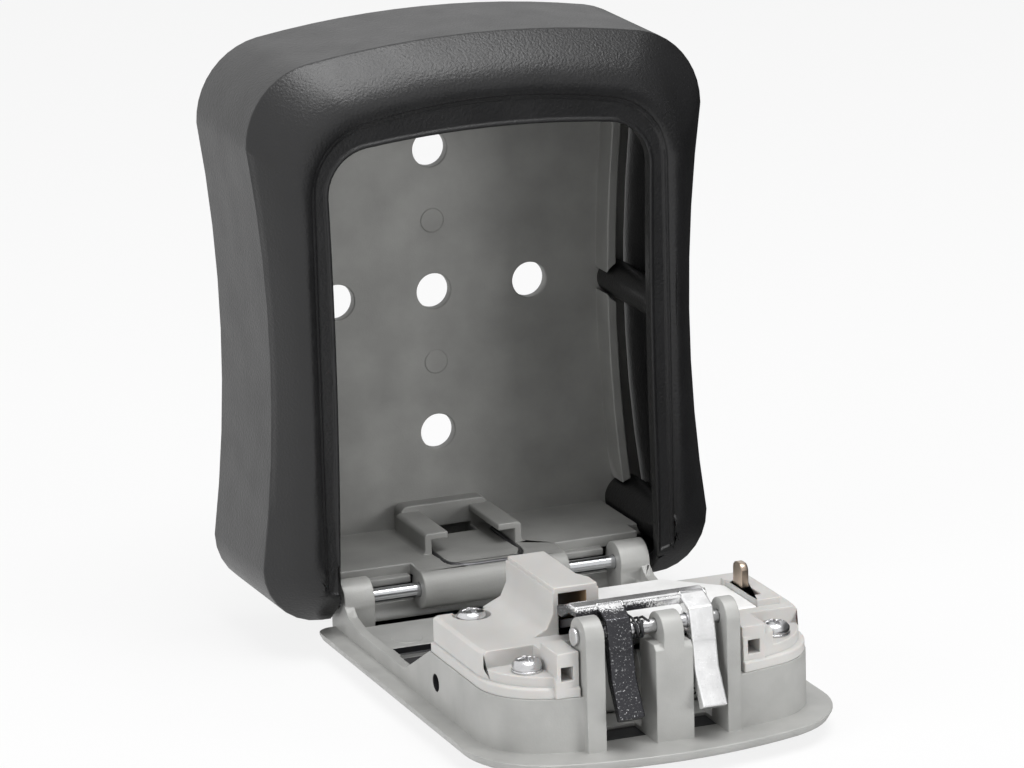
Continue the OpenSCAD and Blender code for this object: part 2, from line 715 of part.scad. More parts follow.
module release_slider() color([0.13, 0.13, 0.14]) in_door() union() {
    block([-slide_hw, slide_hw], [slide_t0, slide_t0 + slide_t], [slide_v1 - slide_l, slide_v1]);
    block([-neck_hw0, neck_hw1], [slide_t0, slide_t0 + slide_t], [slide_v1 - over, button_v + button_l]);
    block([-button_hw, button_hw], [tray_t - slide_gap - over, slide_t0 + over], [button_v, button_v + button_l]);
    block([-cap_hw, cap_hw], [tray_t - slide_gap - cap_t, tray_t - slide_gap],
        [button_v - cap_back, button_v - cap_back + cap_l]);
    block([-neck_hw0, strip_w - neck_hw0], [slide_t0, slide_t0 + slide_t], [slide_v1 - over, strip_v1]);
    block([-neck_hw0, strip_w - neck_hw0], [slide_t0, finger_t0 + finger_t], [strip_v1 - strip_l, strip_v1]);
    block([-neck_hw0, wedge_x1], [finger_t0, finger_t0 + finger_t], [strip_v1 - strip_l, strip_v1]);
    plate_x(wedge_x0, wedge_x1) polygon([
        [wedge_top(strip_v1 - over), strip_v1 - over],
        [wedge_top(pin_v - wedge_end), pin_v - wedge_end],
        [wedge_top(pin_v - wedge_end) - wedge_t, pin_v - wedge_end],
        [wedge_top(strip_v1 - over) - wedge_t, strip_v1 - over]]);
}

// Mechanism cover: a moulded lid with a stepped edge, corner pockets for the screws, a tower over the
// release wedge, a bay for the latch and a rebate for the lock bridge
skirt_in = 0.2;
body_in = 0.6;
body_r_more = 2.5;
edge_r = 0.6;
bay_hw = 16.1;
bay_l = 14.5;
pocket_up = 3.9;
pocket_in = 10.7;
pocket_l = 14;
back_pocket_down = 1.5;
back_pocket_r = 3.6;
bay_wall_v = end_v - bay_l;
pocket_t = box_top + pocket_up;
pocket_x = box_hw - pocket_in;
pocket_v = end_v - pocket_l;
back_pocket_t = cover_top - back_pocket_down;
tower_x0 = -16.2;
tower_x1 = -7;
tower_jog = 1.3;
tower_down0 = 40.5;
tower_down1 = 17.5;
jog_down0 = 24.5;
jog_down1 = 21.5;
tower_edge = 0.8;
tower_draft = 0.3;
tower_top = cover_top + tower_h;
tower_v0 = end_v - tower_down0;
tower_v1 = end_v - tower_down1;
buttress_w = 5;
buttress_h = 4;
buttress_shares = [0.25, 0.33];
shoulder_x0 = -6.5;
shoulder_x1 = -1;
shoulder_h = 4;
shoulder_down0 = 38.6;
shoulder_down1 = 24.6;
cheek_w = 4.6;
cheek_rise = 1.4;
cheek_back = 10.5;
cheek_front = 2.5;
cheek_top = cover_top + cheek_rise;
cheek_v0 = end_v - cheek_back;
cheek_v1 = end_v - cheek_front;
eye_w = 2.4;
eye_up = 3.2;
eye_h = 2.6;
eye_t0 = box_top + eye_up;
eye_t1 = eye_t0 + eye_h;
wing_in = 3.3;
wing_w = 5;
wing_h = 1.3;
wing_x1 = box_hw - wing_in;
wing_x0 = wing_x1 - wing_w;
wing_down0 = 32.6;
wing_down1 = 16.6;
bridge_x0 = -5;
bridge_in = 8.1;
bridge_x1 = box_hw - bridge_in;
bridge_t = 1.9;
bridge_up = 0.2;
bridge_cut = 9.2;
bridge_down0 = 40.1;
bridge_down1 = 16.5;
shelf_w = 1.2;
shelf_t = 1.2;
tab_t = 1.5;
tab_gap = 0.6;
lever_l = 4;
lever_travel = 4.5;
lever_down = 28.6;
foot_t = 1.1;
foot_w = 7;
rest_t = 1;
bridge_v0 = end_v - bridge_down0;
bridge_v1 = end_v - bridge_down1;
bridge_t1 = cover_top + bridge_up;
bridge_t0 = bridge_t1 - bridge_t;
foot_t0 = bridge_t0 - run_gap - foot_t;
lever_v = end_v - lever_down;
tab_x0 = bridge_x1 + tab_gap;
tab_x1 = tab_x0 + tab_t;

// Ring of the cover, drawn in by d, with corners rounder by more than the box's
function cover_ring(d, t, more) = ring(outline(box_hw - d, box_hw - d, end_v - d, box_rise, cover_v + d,
    box_r + more - d, nib_r), t);

// Plan of the bridge, grown by d: a plate with one corner cut off
function bridge_plan(d) = [
    [bridge_x0 - d, bridge_v0 - d],
    [bridge_x1 - bridge_cut, bridge_v0 - d],
    [bridge_x1 + d, bridge_v0 + bridge_cut],
    [bridge_x1 + d, bridge_v1 + d],
    [bridge_x0 - d, bridge_v1 + d]];

// Plan of the tower, drawn in by d: wider at its open end
function tower_plan(d) = [
    [tower_x0 + d, tower_v0 + d],
    [tower_x1 - tower_jog - d, tower_v0 + d],
    [tower_x1 - tower_jog - d, end_v - jog_down0],
    [tower_x1 - d, end_v - jog_down1],
    [tower_x1 - d, tower_v1],
    [tower_x0 + d, tower_v1]];

module mechanism_cover() color([0.71, 0.7, 0.68]) in_door() difference() {
    union() {
        difference() {
            union() {
                loft([
                    cover_ring(body_in + edge_r, cover_top, body_r_more),
                    cover_ring(body_in, cover_top - edge_r, body_r_more),
                    cover_ring(body_in, skirt_top, body_r_more),
                    cover_ring(skirt_in + edge_r / 2, skirt_top, 0),
                    cover_ring(skirt_in, skirt_top - edge_r / 2, 0),
                    cover_ring(skirt_in, box_top, 0)]);
                slab(cover_top - over, tower_top - tower_edge) polygon(tower_plan(0));
                slab(tower_top - tower_edge - over, tower_top) polygon(tower_plan(tower_draft));
                // Buttress on the tower's left, shoulder on its right, wing beside the reset lever
                translate([0, 0, tower_v0]) linear_extrude(tower_v1 - tower_v0) polygon([
                    [tower_x0 + over, cover_top - over],
                    [tower_x0 + over, cover_top + buttress_h],
                    [tower_x0, cover_top + buttress_h],
                    [tower_x0 - buttress_w * buttress_shares[0], cover_top + buttress_h * buttress_shares[1]],
                    [tower_x0 - buttress_w, cover_top - over]]);
                block([shoulder_x0 - over, shoulder_x1], [cover_top - over, cover_top + shoulder_h],
                    [end_v - shoulder_down0, end_v - shoulder_down1]);
                block([wing_x0, wing_x1], [cover_top - over, cover_top + wing_h], [end_v - wing_down0, end_v - wing_down1]);
            }
            // Cavity, less the pocket floors, the screw pillars and the rest of the reset lever
            difference() {
                loft([
                    cover_ring(skirt_in + box_wall + fit_gap, cover_top - cover_wall, body_r_more),
                    cover_ring(skirt_in + box_wall + fit_gap, skirt_top - cover_wall, body_r_more),
                    cover_ring(skirt_in + box_wall, skirt_top - cover_wall, 0),
                    cover_ring(skirt_in + box_wall, box_top - over, 0)]);
                both() block([pocket_x - cover_wall, box_hw], [pocket_t - cover_wall, cover_top],
                    [pocket_v - cover_wall, end_v]);
                peg(screws[0][0], [back_pocket_t - cover_wall, cover_top], screws[0][1], back_pocket_r + cover_wall);
                for (s = screws) peg(s[0], [box_top, cover_top - over], s[1], boss_r);
                block([tab_x0 - foot_w, box_hw], [foot_t0 - run_gap - rest_t, foot_t0 - run_gap],
                    [lever_v - tab_t, lever_v + lever_l + lever_travel + tab_t]);
                block([bridge_x0, bridge_x1], [bridge_t0 - shelf_t, bridge_t0], [cover_v, bridge_v0 + shelf_w]);
            }
        }
        // Cheeks beside the latch posts
        for (s = [-1, 1]) block(
            [latch_x + min(s * bay_hw, s * (bay_hw + cheek_w)), latch_x + max(s * bay_hw, s * (bay_hw + cheek_w))],
            [box_top, cheek_top], [cheek_v0, cheek_v1]);
    }
    // Bay of the latch
    block([latch_x - bay_hw, latch_x + bay_hw], [box_top - over, cheek_top + over], [bay_wall_v + cover_wall, end_v + over]);
    // Inside of the tower, open to the latch
    block([tower_x0 + cover_wall, tower_x1 - tower_jog - cover_wall], [cover_top - cover_wall - over, tower_top - cover_wall],
        [tower_v0 + cover_wall, tower_v1 + over]);
    // Pockets over the screws, and their holes
    both() block([pocket_x, box_hw + over], [pocket_t, cheek_top + over], [pocket_v, end_v + over]);
    peg(screws[0][0], [back_pocket_t, cover_top + over], screws[0][1], back_pocket_r);
    for (s = screws) peg(s[0], [box_top - over, cover_top], s[1], screw_r + fit_gap);
    // Windows of the cheeks
    for (s = [-1, 1]) block(
        [latch_x + s * (bay_hw + cheek_w / 2) - eye_w / 2, latch_x + s * (bay_hw + cheek_w / 2) + eye_w / 2],
        [eye_t0, eye_t1], [cheek_v0 + cover_wall, cheek_v1 + over]);
    // Rebate of the bridge and slot of the reset lever's tab
    slab(bridge_t0, tower_top + over) polygon(bridge_plan(fit_gap));
    block([tab_x0 - run_gap, tab_x1 + run_gap], [foot_t0 - run_gap, tower_top],
        [lever_v - run_gap, lever_v + lever_l + lever_travel + run_gap]);
}

module lock_bridge() color([0.62, 0.62, 0.61]) in_door() slab(bridge_t0, bridge_t1) polygon(bridge_plan(0));

// Pan head screw that stands on height t, with a cross recess
cross_w = 0.8;
cross_l = 3.4;
cross_d = 1;
module pan_screw(t) translate([0, t, 0]) difference() {
    rotate([-90, 0, 0]) rotate_extrude() polygon([
        [0, -screw_l],
        [screw_r, -screw_l],
        [screw_r, 0],
        [pan_head_r, 0],
        for (s = head_shares) [pan_head_r * s[0], pan_head_h * s[1]],
        [0, pan_head_h]]);
    block([-cross_l / 2, cross_l / 2], [pan_head_h - cross_d, pan_head_h + over], [-cross_w / 2, cross_w / 2]);
    block([-cross_w / 2, cross_w / 2], [pan_head_h - cross_d, pan_head_h + over], [-cross_l / 2, cross_l / 2]);
}
screw_seats = [back_pocket_t, pocket_t, pocket_t];

module cover_screws() color([0.75, 0.76, 0.78]) in_door() for (i = [0:len(screws) - 1])
    translate([screws[i][0], 0, screws[i][1]]) pan_screw(screw_seats[i] + washer_t);

module cover_washers() color([0.7, 0.71, 0.73]) in_door() for (i = [0:len(screws) - 1])
    translate([screws[i][0], screw_seats[i], screws[i][1]]) difference() {
        peg(0, [0, washer_t], 0, washer_r);
        peg(0, [-over, washer_t + over], 0, screw_r + fit_gap);
    }

module dial_shaft() color([0.7, 0.71, 0.73]) in_door()
    rod([-cheek_x - cheek_t, cheek_x + cheek_t], dial_t, dial_v, shaft_r);

// Dial: a ten-sided wheel with trimmed corners; its sleeve has a notched flange beside the dial
faces_n = 10;
corner_out = 0.2;
hub_r = shaft_r + 1.1;
flange_r = 5;
flange_t = 0.9;
flange_gap = 0.05;
notch_w = 2;
notch_d = 1.4;
module dial(i) color([0.9, 0.9, 0.89]) in_door() translate([dial_x(i) - dial_w / 2, dial_t, dial_v]) difference() {
    intersection() {
        rotate([0, 90, 0]) rotate([0, 0, 180 / faces_n - 90]) cylinder(r = dial_r + corner_out, h = dial_w, $fn = faces_n);
        rod([-over, dial_w + over], 0, 0, dial_r);
    }
    rod([-over, dial_w + over], 0, 0, hub_r + pin_gap);
}
module sleeve(i) color([0.72, 0.6, 0.3]) in_door() translate([dial_x(i) - dial_w / 2, dial_t, dial_v]) difference() {
    union() {
        rod([0, dial_w + flange_gap + over], 0, 0, hub_r);
        rod([dial_w + flange_gap, dial_w + flange_gap + flange_t], 0, 0, flange_r);
    }
    rod([-over, dial_w + flange_gap + flange_t + over], 0, 0, shaft_r + pin_gap);
    block([dial_w + flange_gap - pin_gap, dial_w + flange_gap + flange_t + over], [flange_r - notch_d, flange_r + over],
        [-notch_w / 2, notch_w / 2]);
}
module dial_1() dial(1);
module dial_2() dial(2);
module dial_3() dial(3);
module dial_4() dial(4);
module sleeve_1() sleeve(1);
module sleeve_2() sleeve(2);
module sleeve_3() sleeve(3);
module sleeve_4() sleeve(4);

// Detent spring: a leaf under the bridge with one finger for each dial
leaf_hw = 15;
leaf_t = 0.4;
leaf_l = 5.5;
leaf_lift = 0.2;
leaf_end = 0.8;
leaf_v = dial_v + 4;
finger_w = 3;
module detent_spring() color([0.66, 0.67, 0.7]) in_door() union() {
    block([-leaf_hw, leaf_hw], [bridge_t0 - leaf_t, bridge_t0], [leaf_v, leaf_v + leaf_l]);
    for (i = [1:dial_n]) plate_x(dial_x(i) - finger_w / 2, dial_x(i) + finger_w / 2) polygon(strip([
        [bridge_t0 - leaf_t / 2, leaf_v + over],
        [dial_t + dial_r + leaf_t, dial_v + leaf_t],
        [dial_t + dial_r + leaf_t + leaf_lift, dial_v - leaf_end]], leaf_t));
}

// Reset lever: a tab that stands up through the cover, on a foot under the bridge
tab_h = 7.5;
tab_r = 1.4;
module reset_lever() color([0.75, 0.62, 0.38]) in_door() union() {
    block([tab_x0 - foot_w, tab_x1], [foot_t0, foot_t0 + foot_t], [lever_v, lever_v + lever_l]);
    plate_x(tab_x0, tab_x1) polygon([
        [foot_t0, lever_v],
        [foot_t0, lever_v + lever_l],
        for (a = [0:15:90]) [foot_t0 + tab_h + tab_r * sin(a), lever_v + lever_l - tab_r * (1 - cos(a))],
        for (a = [90:-15:0]) [foot_t0 + tab_h + tab_r * sin(a), lever_v + tab_r * (1 - cos(a))]]);
}

// Latch: a crossbar with two hooked arms and a tail that the wedge lifts; lengths are from the pin
arm_in = 5.7;
arm_drop = 14.9;
arm_shares = [[-0.2, 0.24], [0.05, 0.13], [0.125, -0.16], [0.135, -0.23], [0.2, -0.56], [0.46, -1]];
eye_r = 2.3;
bar_v0 = 6;
bar_v1 = 2;
bar_t0 = 2.6;
bar_t1 = 4.6;
bar_out = 11;
bar_tail = 14.8;
bar_edge = 0.6;
tail_w = 4;
tail_shares = [[0.8, -11.5], [0.7, -9.7], [2.6, -5.8], [4.4, -5.8], [2.6, -11.5]];
module latch() color([0.8, 0.81, 0.82]) in_door() translate([latch_x, pin_t, pin_v]) difference() {
    union() {
        plate_x(-bar_tail, bar_out) polygon([
            [bar_t0, -bar_v0],
            [bar_t1 - bar_edge, -bar_v0],
            [bar_t1, bar_edge - bar_v0],
            [bar_t1, -bar_v1 - bar_edge],
            [bar_t1 - bar_edge, -bar_v1],
            [bar_t0, -bar_v1]]);
        for (s = [-1, 1]) {
            plate_x(min(s * arm_in, s * (arm_in + arm_w)), max(s * arm_in, s * (arm_in + arm_w)))
                polygon(strip([for (p = arm_shares) arm_drop * [p[1], p[0]]], arm_t));
            rod([min(s * arm_in, s * (arm_in + arm_w)), max(s * arm_in, s * (arm_in + arm_w))], 0, 0, eye_r);
        }
        plate_x(-bar_tail, tail_w - bar_tail) polygon(tail_shares);
    }
    rod([-bar_tail, bar_out], 0, 0, latch_pin_d / 2 + pin_gap);
}

pin_head_r = 1.7;
pin_head_l = 0.7;
pin_end = 0.3;
module latch_pin() color([0.72, 0.73, 0.75]) in_door() union() {
    rod([latch_x - post_outs[0] - fit_gap - over, latch_x + post_outs[1] + pin_end], pin_t, pin_v, latch_pin_d / 2);
    rod([latch_x - post_outs[0] - fit_gap - pin_head_l, latch_x - post_outs[0] - fit_gap], pin_t, pin_v, pin_head_r);
}

// Torsion spring on the latch pin: one tube along a helix with a straight leg at each end
coil_wire_r = 0.25;
coil_pitch = 1;
coil_turns = 2;
coil_n = 8;
coil_sides = 6;
coil_air = 0.4;
coil_in = 0.6;
coil_leg = 3;
coil_r = latch_pin_d / 2 + coil_wire_r + coil_air;
turn = 360;
coil_x = mid_x0 - coil_in - coil_pitch * coil_turns;
function coil_point(a, out) = [coil_x + coil_pitch * a / turn, pin_t + coil_r * cos(a) - out * sin(a),
    pin_v + coil_r * sin(a) + out * cos(a)];
coil_path = concat(
    [[coil_point(0, -coil_leg), 0]],
    [for (i = [0:coil_turns * coil_n]) let(a = turn * i / coil_n) [coil_point(a, 0), a]],
    [[coil_point(turn * coil_turns, coil_leg), turn * coil_turns]]);
function coil_ring(p, a) = [for (i = [0:coil_sides - 1]) let(b = turn * i / coil_sides)
    p + coil_wire_r * [sin(b), cos(b) * cos(a), cos(b) * sin(a)]];
echo("least gap between the spring's turns", coil_pitch - 2 * coil_wire_r);
module latch_spring() color([0.55, 0.56, 0.58]) in_door() loft([for (p = coil_path) coil_ring(p[0], p[1])]);

shell();
housing();
case_screws();
hinge_pin();
clip_wire();
door();
front_insert();
shutter();
release_slider();
mechanism_cover();
lock_bridge();
cover_screws();
cover_washers();
dial_shaft();
dial_1();
dial_2();
dial_3();
dial_4();
sleeve_1();
sleeve_2();
sleeve_3();
sleeve_4();
detent_spring();
reset_lever();
latch();
latch_pin();
latch_spring();
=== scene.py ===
# %% [markdown]
# A combination key safe, mounted on a wall, with its door hanging open.
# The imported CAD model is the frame: every solid already lies in its place, and this lesson
# dresses it. Some solids only get a finish, and others are replaced by a finer piece.

# %% Load the frame
import json
import math

import bmesh
import bpy
from mathutils import Matrix, Vector


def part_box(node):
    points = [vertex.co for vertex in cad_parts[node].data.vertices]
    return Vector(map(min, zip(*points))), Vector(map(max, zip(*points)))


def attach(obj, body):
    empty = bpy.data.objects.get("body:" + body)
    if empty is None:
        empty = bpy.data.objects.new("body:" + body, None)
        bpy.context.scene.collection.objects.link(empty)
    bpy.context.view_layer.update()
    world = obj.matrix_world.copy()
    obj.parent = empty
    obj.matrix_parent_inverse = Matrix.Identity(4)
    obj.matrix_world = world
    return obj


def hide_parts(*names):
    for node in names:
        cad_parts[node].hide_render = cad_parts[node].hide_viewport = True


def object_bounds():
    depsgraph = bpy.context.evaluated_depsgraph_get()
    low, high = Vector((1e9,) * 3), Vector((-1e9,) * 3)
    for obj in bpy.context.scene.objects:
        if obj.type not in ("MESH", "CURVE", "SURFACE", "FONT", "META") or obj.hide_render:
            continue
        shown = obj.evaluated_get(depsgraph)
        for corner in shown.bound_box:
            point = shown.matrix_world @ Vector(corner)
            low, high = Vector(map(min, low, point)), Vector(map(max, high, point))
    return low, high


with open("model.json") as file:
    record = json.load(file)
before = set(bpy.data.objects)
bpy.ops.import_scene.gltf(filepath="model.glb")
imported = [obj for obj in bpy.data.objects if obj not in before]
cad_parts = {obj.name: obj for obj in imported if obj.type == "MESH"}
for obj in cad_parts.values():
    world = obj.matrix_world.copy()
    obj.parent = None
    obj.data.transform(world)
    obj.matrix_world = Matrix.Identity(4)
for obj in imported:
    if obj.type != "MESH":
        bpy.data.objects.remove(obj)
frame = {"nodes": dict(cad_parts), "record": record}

MM = 0.001
nodes = frame["nodes"]
cad_low, cad_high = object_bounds()
print("frame:", len(nodes), "nodes, box", [round(v / MM, 1) for v in cad_high - cad_low], "mm")

# %% [markdown]
# The camera stands where the photographer stood: left of the safe and a little above it, far
# away with a long lens, so that the lines hardly converge. Its place was found by fitting the
# wall holes, the case outline and the door. The picture is turned by a degree and a half, so
# the camera is given its three axes directly instead of a target to look at.

# %% Camera
CAMERA_PLACE = Vector((-348.7, -933.25, 246.23)) * MM
RIGHT = Vector((0.9282, -0.3713, -0.026))
UP = Vector((0.1193, 0.2306, 0.9657))
BACK = Vector((-0.3525, -0.8994, 0.2584))
FOCAL_PIXELS = 5136
FRAME_PIXELS = (1024, 768)

lens = bpy.data.cameras.new("photo_lens")
lens.sensor_width = 36
lens.lens = lens.sensor_width * FOCAL_PIXELS / FRAME_PIXELS[0]
lens.clip_start, lens.clip_end = 0.01, 20
camera = bpy.data.objects.new("camera", lens)
bpy.context.scene.collection.objects.link(camera)
camera.matrix_world = Matrix.Translation(CAMERA_PLACE) @ Matrix((RIGHT, UP, BACK)).transposed().to_4x4()
bpy.context.scene.camera = camera
print("lens", round(lens.lens), "mm,", round(CAMERA_PLACE.length / MM), "mm from the wall hole")

# %% [markdown]
# A shader is a handful of nodes wired together. These helpers add a node with its inputs filled
# in, where a socket among the values gets wired and anything else is a plain number or colour.
# So the cells below read from a coordinate at the start to the surface at the end.

# %% Helpers for shader nodes
WHITE = (1, 1, 1, 1)


def feed(tree, node, inputs):
    """Fills in inputs of a node: a socket is wired to its input, and anything else is its value."""
    for name, value in inputs.items():
        if isinstance(value, bpy.types.NodeSocket):
            tree.links.new(value, node.inputs[name])
        else:
            node.inputs[name].default_value = value


def add(tree, kind, inputs):
    """A new shader node with its inputs filled in."""
    node = tree.nodes.new("ShaderNode" + kind)
    feed(tree, node, inputs)
    return node


def maths(tree, operation, first, second):
    """The socket with a sum, a product or another operation on two terms."""
    node = add(tree, "Math", {0: first, 1: second})
    node.operation = operation
    return node.outputs[0]


def graded(tree, value, start, end, low, high, curve="LINEAR"):
    """The socket that goes from low to high while a value goes from start to end."""
    node = add(tree, "MapRange", {"Value": value, "From Min": start, "From Max": end,
                                  "To Min": low, "To Max": high})
    node.interpolation_type = curve
    return node.outputs[0]


def coordinates(tree, kind):
    """The socket of a texture coordinate, and its three numbers apart."""
    place = add(tree, "TexCoord", {}).outputs[kind]
    return place, add(tree, "SeparateXYZ", {0: place}).outputs


# %% [markdown]
# A catalogue picture has a white ground and large soft lamps. The world is white where the
# camera or a mirror looks at it, and gives only a mild grey light to everything else, so the
# shadows inside the case stay soft and the black shell stays black. On the right stands a dark
# card, as a photographer puts one up beside a black or shiny object: only reflections see it, and
# it gives the sloped border of the shell its dark side and the chrome its contrast.

# %% World
ROOM_LIGHT = 0.32
CARD_FROM, CARD_TO, CARD_DARK = 0.25, 0.8, 0.12

scene = bpy.context.scene
scene.view_settings.view_transform = "Standard"
world = bpy.data.worlds.new("studio")
scene.world = world
world.use_nodes = True
sky = world.node_tree
sky.nodes.clear()
ray = add(sky, "LightPath", {}).outputs
seen = maths(sky, "MAXIMUM", ray["Is Camera Ray"], ray["Is Glossy Ray"])
seen = maths(sky, "MAXIMUM", seen, ray["Is Transmission Ray"])
heading, sideways = coordinates(sky, "Generated")
not_card = graded(sky, sideways["X"], CARD_FROM, CARD_TO, 1, CARD_DARK, "SMOOTHSTEP")
white = maths(sky, "MAXIMUM", ray["Is Camera Ray"], not_card)
room = add(sky, "Background", {"Color": WHITE, "Strength": ROOM_LIGHT})
ground = add(sky, "Background", {"Color": WHITE, "Strength": white})
choose = add(sky, "MixShader", {0: seen, 1: room.outputs[0], 2: ground.outputs[0]})
add(sky, "OutputWorld", {"Surface": choose.outputs[0]})
print("world: room light", ROOM_LIGHT, "and a dark card for reflections from", CARD_FROM, "to", CARD_TO)

# %% [markdown]
# Three square lamps do the lighting. The main one stands on the right, so the right wall of the
# case shades the back plate beside it. Another stands on the left, and one hangs above the open
# door, because in the photograph the faces that look up are the brightest. Only that one makes
# highlights: the two at the sides would put a shine on the black border, which has none.

# %% Lamps
def softbox(name, place, aim, size, watts):
    """A square lamp that points at a spot, both in millimetres."""
    data = bpy.data.lights.new(name, "AREA")
    data.shape = "SQUARE"
    data.size = size * MM
    data.energy = watts
    lamp = bpy.data.objects.new(name, data)
    scene.collection.objects.link(lamp)
    lamp.location = Vector(place) * MM
    lamp.rotation_euler = (Vector(aim) * MM - lamp.location).to_track_quat("-Z", "Y").to_euler()
    return lamp


lamps = [
    softbox("key", (560, -760, 90), (0, -60, -20), 350, 4.6),
    softbox("left", (-900, -380, 240), (0, -60, -20), 600, 4.5),
    softbox("top", (60, -260, 900), (0, -60, 0), 600, 7.5),
]
for lamp in lamps[:2]:
    lamp.visible_glossy = False
print("lamps:", [lamp.name for lamp in lamps])

# %% [markdown]
# The object hangs on a wall, but here it stands over a sheet of white paper, as in the picture.
# The paper glows a little for the camera, so it stays white and still shows the soft shadow. The
# dark card lies over its right part, and again only reflections see it.

# %% Floor
PAPER, CARD_INK = (0.78, 0.78, 0.78, 1), (0.03, 0.03, 0.03, 1)
PAPER_ROUGH, PAPER_GLOW = 0.9, 0.84
CARD_NEAR, CARD_FAR = -60, 80
FLOOR_HALF, FLOOR_GAP = 3, 0.2

bm = bmesh.new()
bmesh.ops.create_grid(bm, x_segments=1, y_segments=1, size=FLOOR_HALF)
bmesh.ops.translate(bm, verts=bm.verts, vec=(0, 0, cad_low.z - FLOOR_GAP * MM))
floor_mesh = bpy.data.meshes.new("floor")
bm.to_mesh(floor_mesh)
bm.free()
floor = bpy.data.objects.new("floor", floor_mesh)
scene.collection.objects.link(floor)
paper = bpy.data.materials.new("paper")
paper.use_nodes = True
sheet = paper.node_tree
white = sheet.nodes["Principled BSDF"]
feed(sheet, white, {"Base Color": PAPER, "Roughness": PAPER_ROUGH})
ray = add(sheet, "LightPath", {}).outputs
spot, apart = coordinates(sheet, "Object")
covered = graded(sheet, apart["X"], CARD_NEAR * MM, CARD_FAR * MM, 0, 1, "SMOOTHSTEP")
mirrored_card = maths(sheet, "MULTIPLY", covered, ray["Is Glossy Ray"])
card = add(sheet, "BsdfDiffuse", {"Color": CARD_INK})
ground = add(sheet, "MixShader", {0: mirrored_card, 1: white.outputs[0], 2: card.outputs[0]})
mirrored_paper = maths(sheet, "SUBTRACT", ray["Is Glossy Ray"], mirrored_card)
seen = maths(sheet, "MAXIMUM", ray["Is Camera Ray"], mirrored_paper)
share = maths(sheet, "MULTIPLY", seen, PAPER_GLOW)
glow = add(sheet, "Emission", {"Strength": 1})
blend = add(sheet, "MixShader", {0: share, 1: ground.outputs[0], 2: glow.outputs[0]})
feed(sheet, sheet.nodes["Material Output"], {"Surface": blend.outputs[0]})
floor_mesh.materials.append(paper)
print("floor", round(-(cad_low.z / MM - FLOOR_GAP), 1), "mm below the wall hole")

# %% [markdown]
# Every finish here is a Principled shader. What changes over a surface comes from noise on
# Object coordinates: a slow noise for patches, a fine one for grain. A Bevel node softens the
# way light breaks at each edge, as a casting's or moulding's small radius does.

# %% A finish with grain
TINT_FROM, TINT_TO = 0.3, 0.7
GLOW_RADIUS, GLOW_SCALE = (1, 0.5, 0.32), 1.5


def finish(name, colour, rough, metal=0.0, patch=0.12, patch_size=9.0, grain=0.4, depth=0.02, edge=0.25,
           rough_change=0.08, stretch=(1, 1, 1), specular=0.5, glow_through=0.0):
    """A material: patches and grain sizes in millimetres, depth of the grain in millimetres."""
    mat = bpy.data.materials.new(name)
    mat.use_nodes = True
    tree = mat.node_tree
    place = add(tree, "TexCoord", {}).outputs["Object"]
    turn = add(tree, "Mapping", {"Vector": place, "Scale": stretch}).outputs[0]
    slow = add(tree, "TexNoise", {"Vector": turn, "Scale": 1 / (patch_size * MM), "Detail": 4}).outputs[0]
    fine = add(tree, "TexNoise", {"Vector": turn, "Scale": 1 / (grain * MM), "Detail": 3}).outputs[0]
    tint = add(tree, "ValToRGB", {0: slow})
    dull, bright = tint.color_ramp.elements
    dull.position, bright.position = TINT_FROM, TINT_TO
    dull.color = (*[c * (1 - patch) for c in colour], 1)
    bright.color = (*[min(1, c * (1 + patch)) for c in colour], 1)
    gloss = graded(tree, slow, 0, 1, rough - rough_change, rough + rough_change)
    soft_edge = add(tree, "Bevel", {"Radius": edge * MM})
    soft_edge.samples = 6
    bump = add(tree, "Bump", {"Strength": 1, "Distance": depth * MM, "Height": fine,
                              "Normal": soft_edge.outputs[0]})
    feed(tree, tree.nodes["Principled BSDF"], {
        "Base Color": tint.outputs[0], "Roughness": gloss, "Metallic": metal, "Normal": bump.outputs[0],
        "Specular IOR Level": specular, "Subsurface Weight": glow_through,
        "Subsurface Radius": GLOW_RADIUS, "Subsurface Scale": GLOW_SCALE * MM})
    return mat


finishes = {
    "shell_black": finish("shell_black", (0.008, 0.008, 0.0085), 0.39, grain=0.5, depth=0.09, edge=0.5),
    "casting_grey": finish("casting_grey", (0.28, 0.28, 0.27), 0.5, metal=0.2, grain=0.35, depth=0.03),
    "fastener": finish("fastener", (0.62, 0.62, 0.63), 0.24, metal=1, patch=0.1, patch_size=3, depth=0.004),
    "pin_bright": finish("pin_bright", (0.66, 0.67, 0.69), 0.2, metal=1, stretch=(0.1, 1, 1), depth=0.003),
    "wire_dark": finish("wire_dark", (0.12, 0.12, 0.125), 0.35, metal=0.9, depth=0.004),
    "door_grey": finish("door_grey", (0.385, 0.385, 0.373), 0.45, metal=0.15, grain=0.35, depth=0.03),
    "insert_black": finish("insert_black", (0.02, 0.02, 0.022), 0.4, depth=0.015),
    "shutter_black": finish("shutter_black", (0.018, 0.018, 0.02), 0.35, depth=0.012),
    "slider_black": finish("slider_black", (0.02, 0.02, 0.022), 0.45, depth=0.015),
    "cover_grey": finish("cover_grey", (0.53, 0.52, 0.505), 0.42, patch=0.04, grain=0.3, depth=0.01,
                         edge=0.35, glow_through=0.2),
    "bridge_grey": finish("bridge_grey", (0.92, 0.92, 0.91), 0.4, metal=0.1, grain=0.3, depth=0.012),
    "dial_white": finish("dial_white", (0.75, 0.75, 0.73), 0.35, patch=0.03, depth=0.004),
    "brass": finish("brass", (0.50, 0.41, 0.33), 0.3, metal=1, patch=0.15, patch_size=3, depth=0.004),
    "spring_steel": finish("spring_steel", (0.10, 0.10, 0.105), 0.32, metal=1, depth=0.003),
    "latch_chrome": finish("latch_chrome", (0.9, 0.9, 0.905), 0.2, metal=0.85, patch=0.08, patch_size=2.5,
                           depth=0.01, grain=0.9, edge=0.3),
}
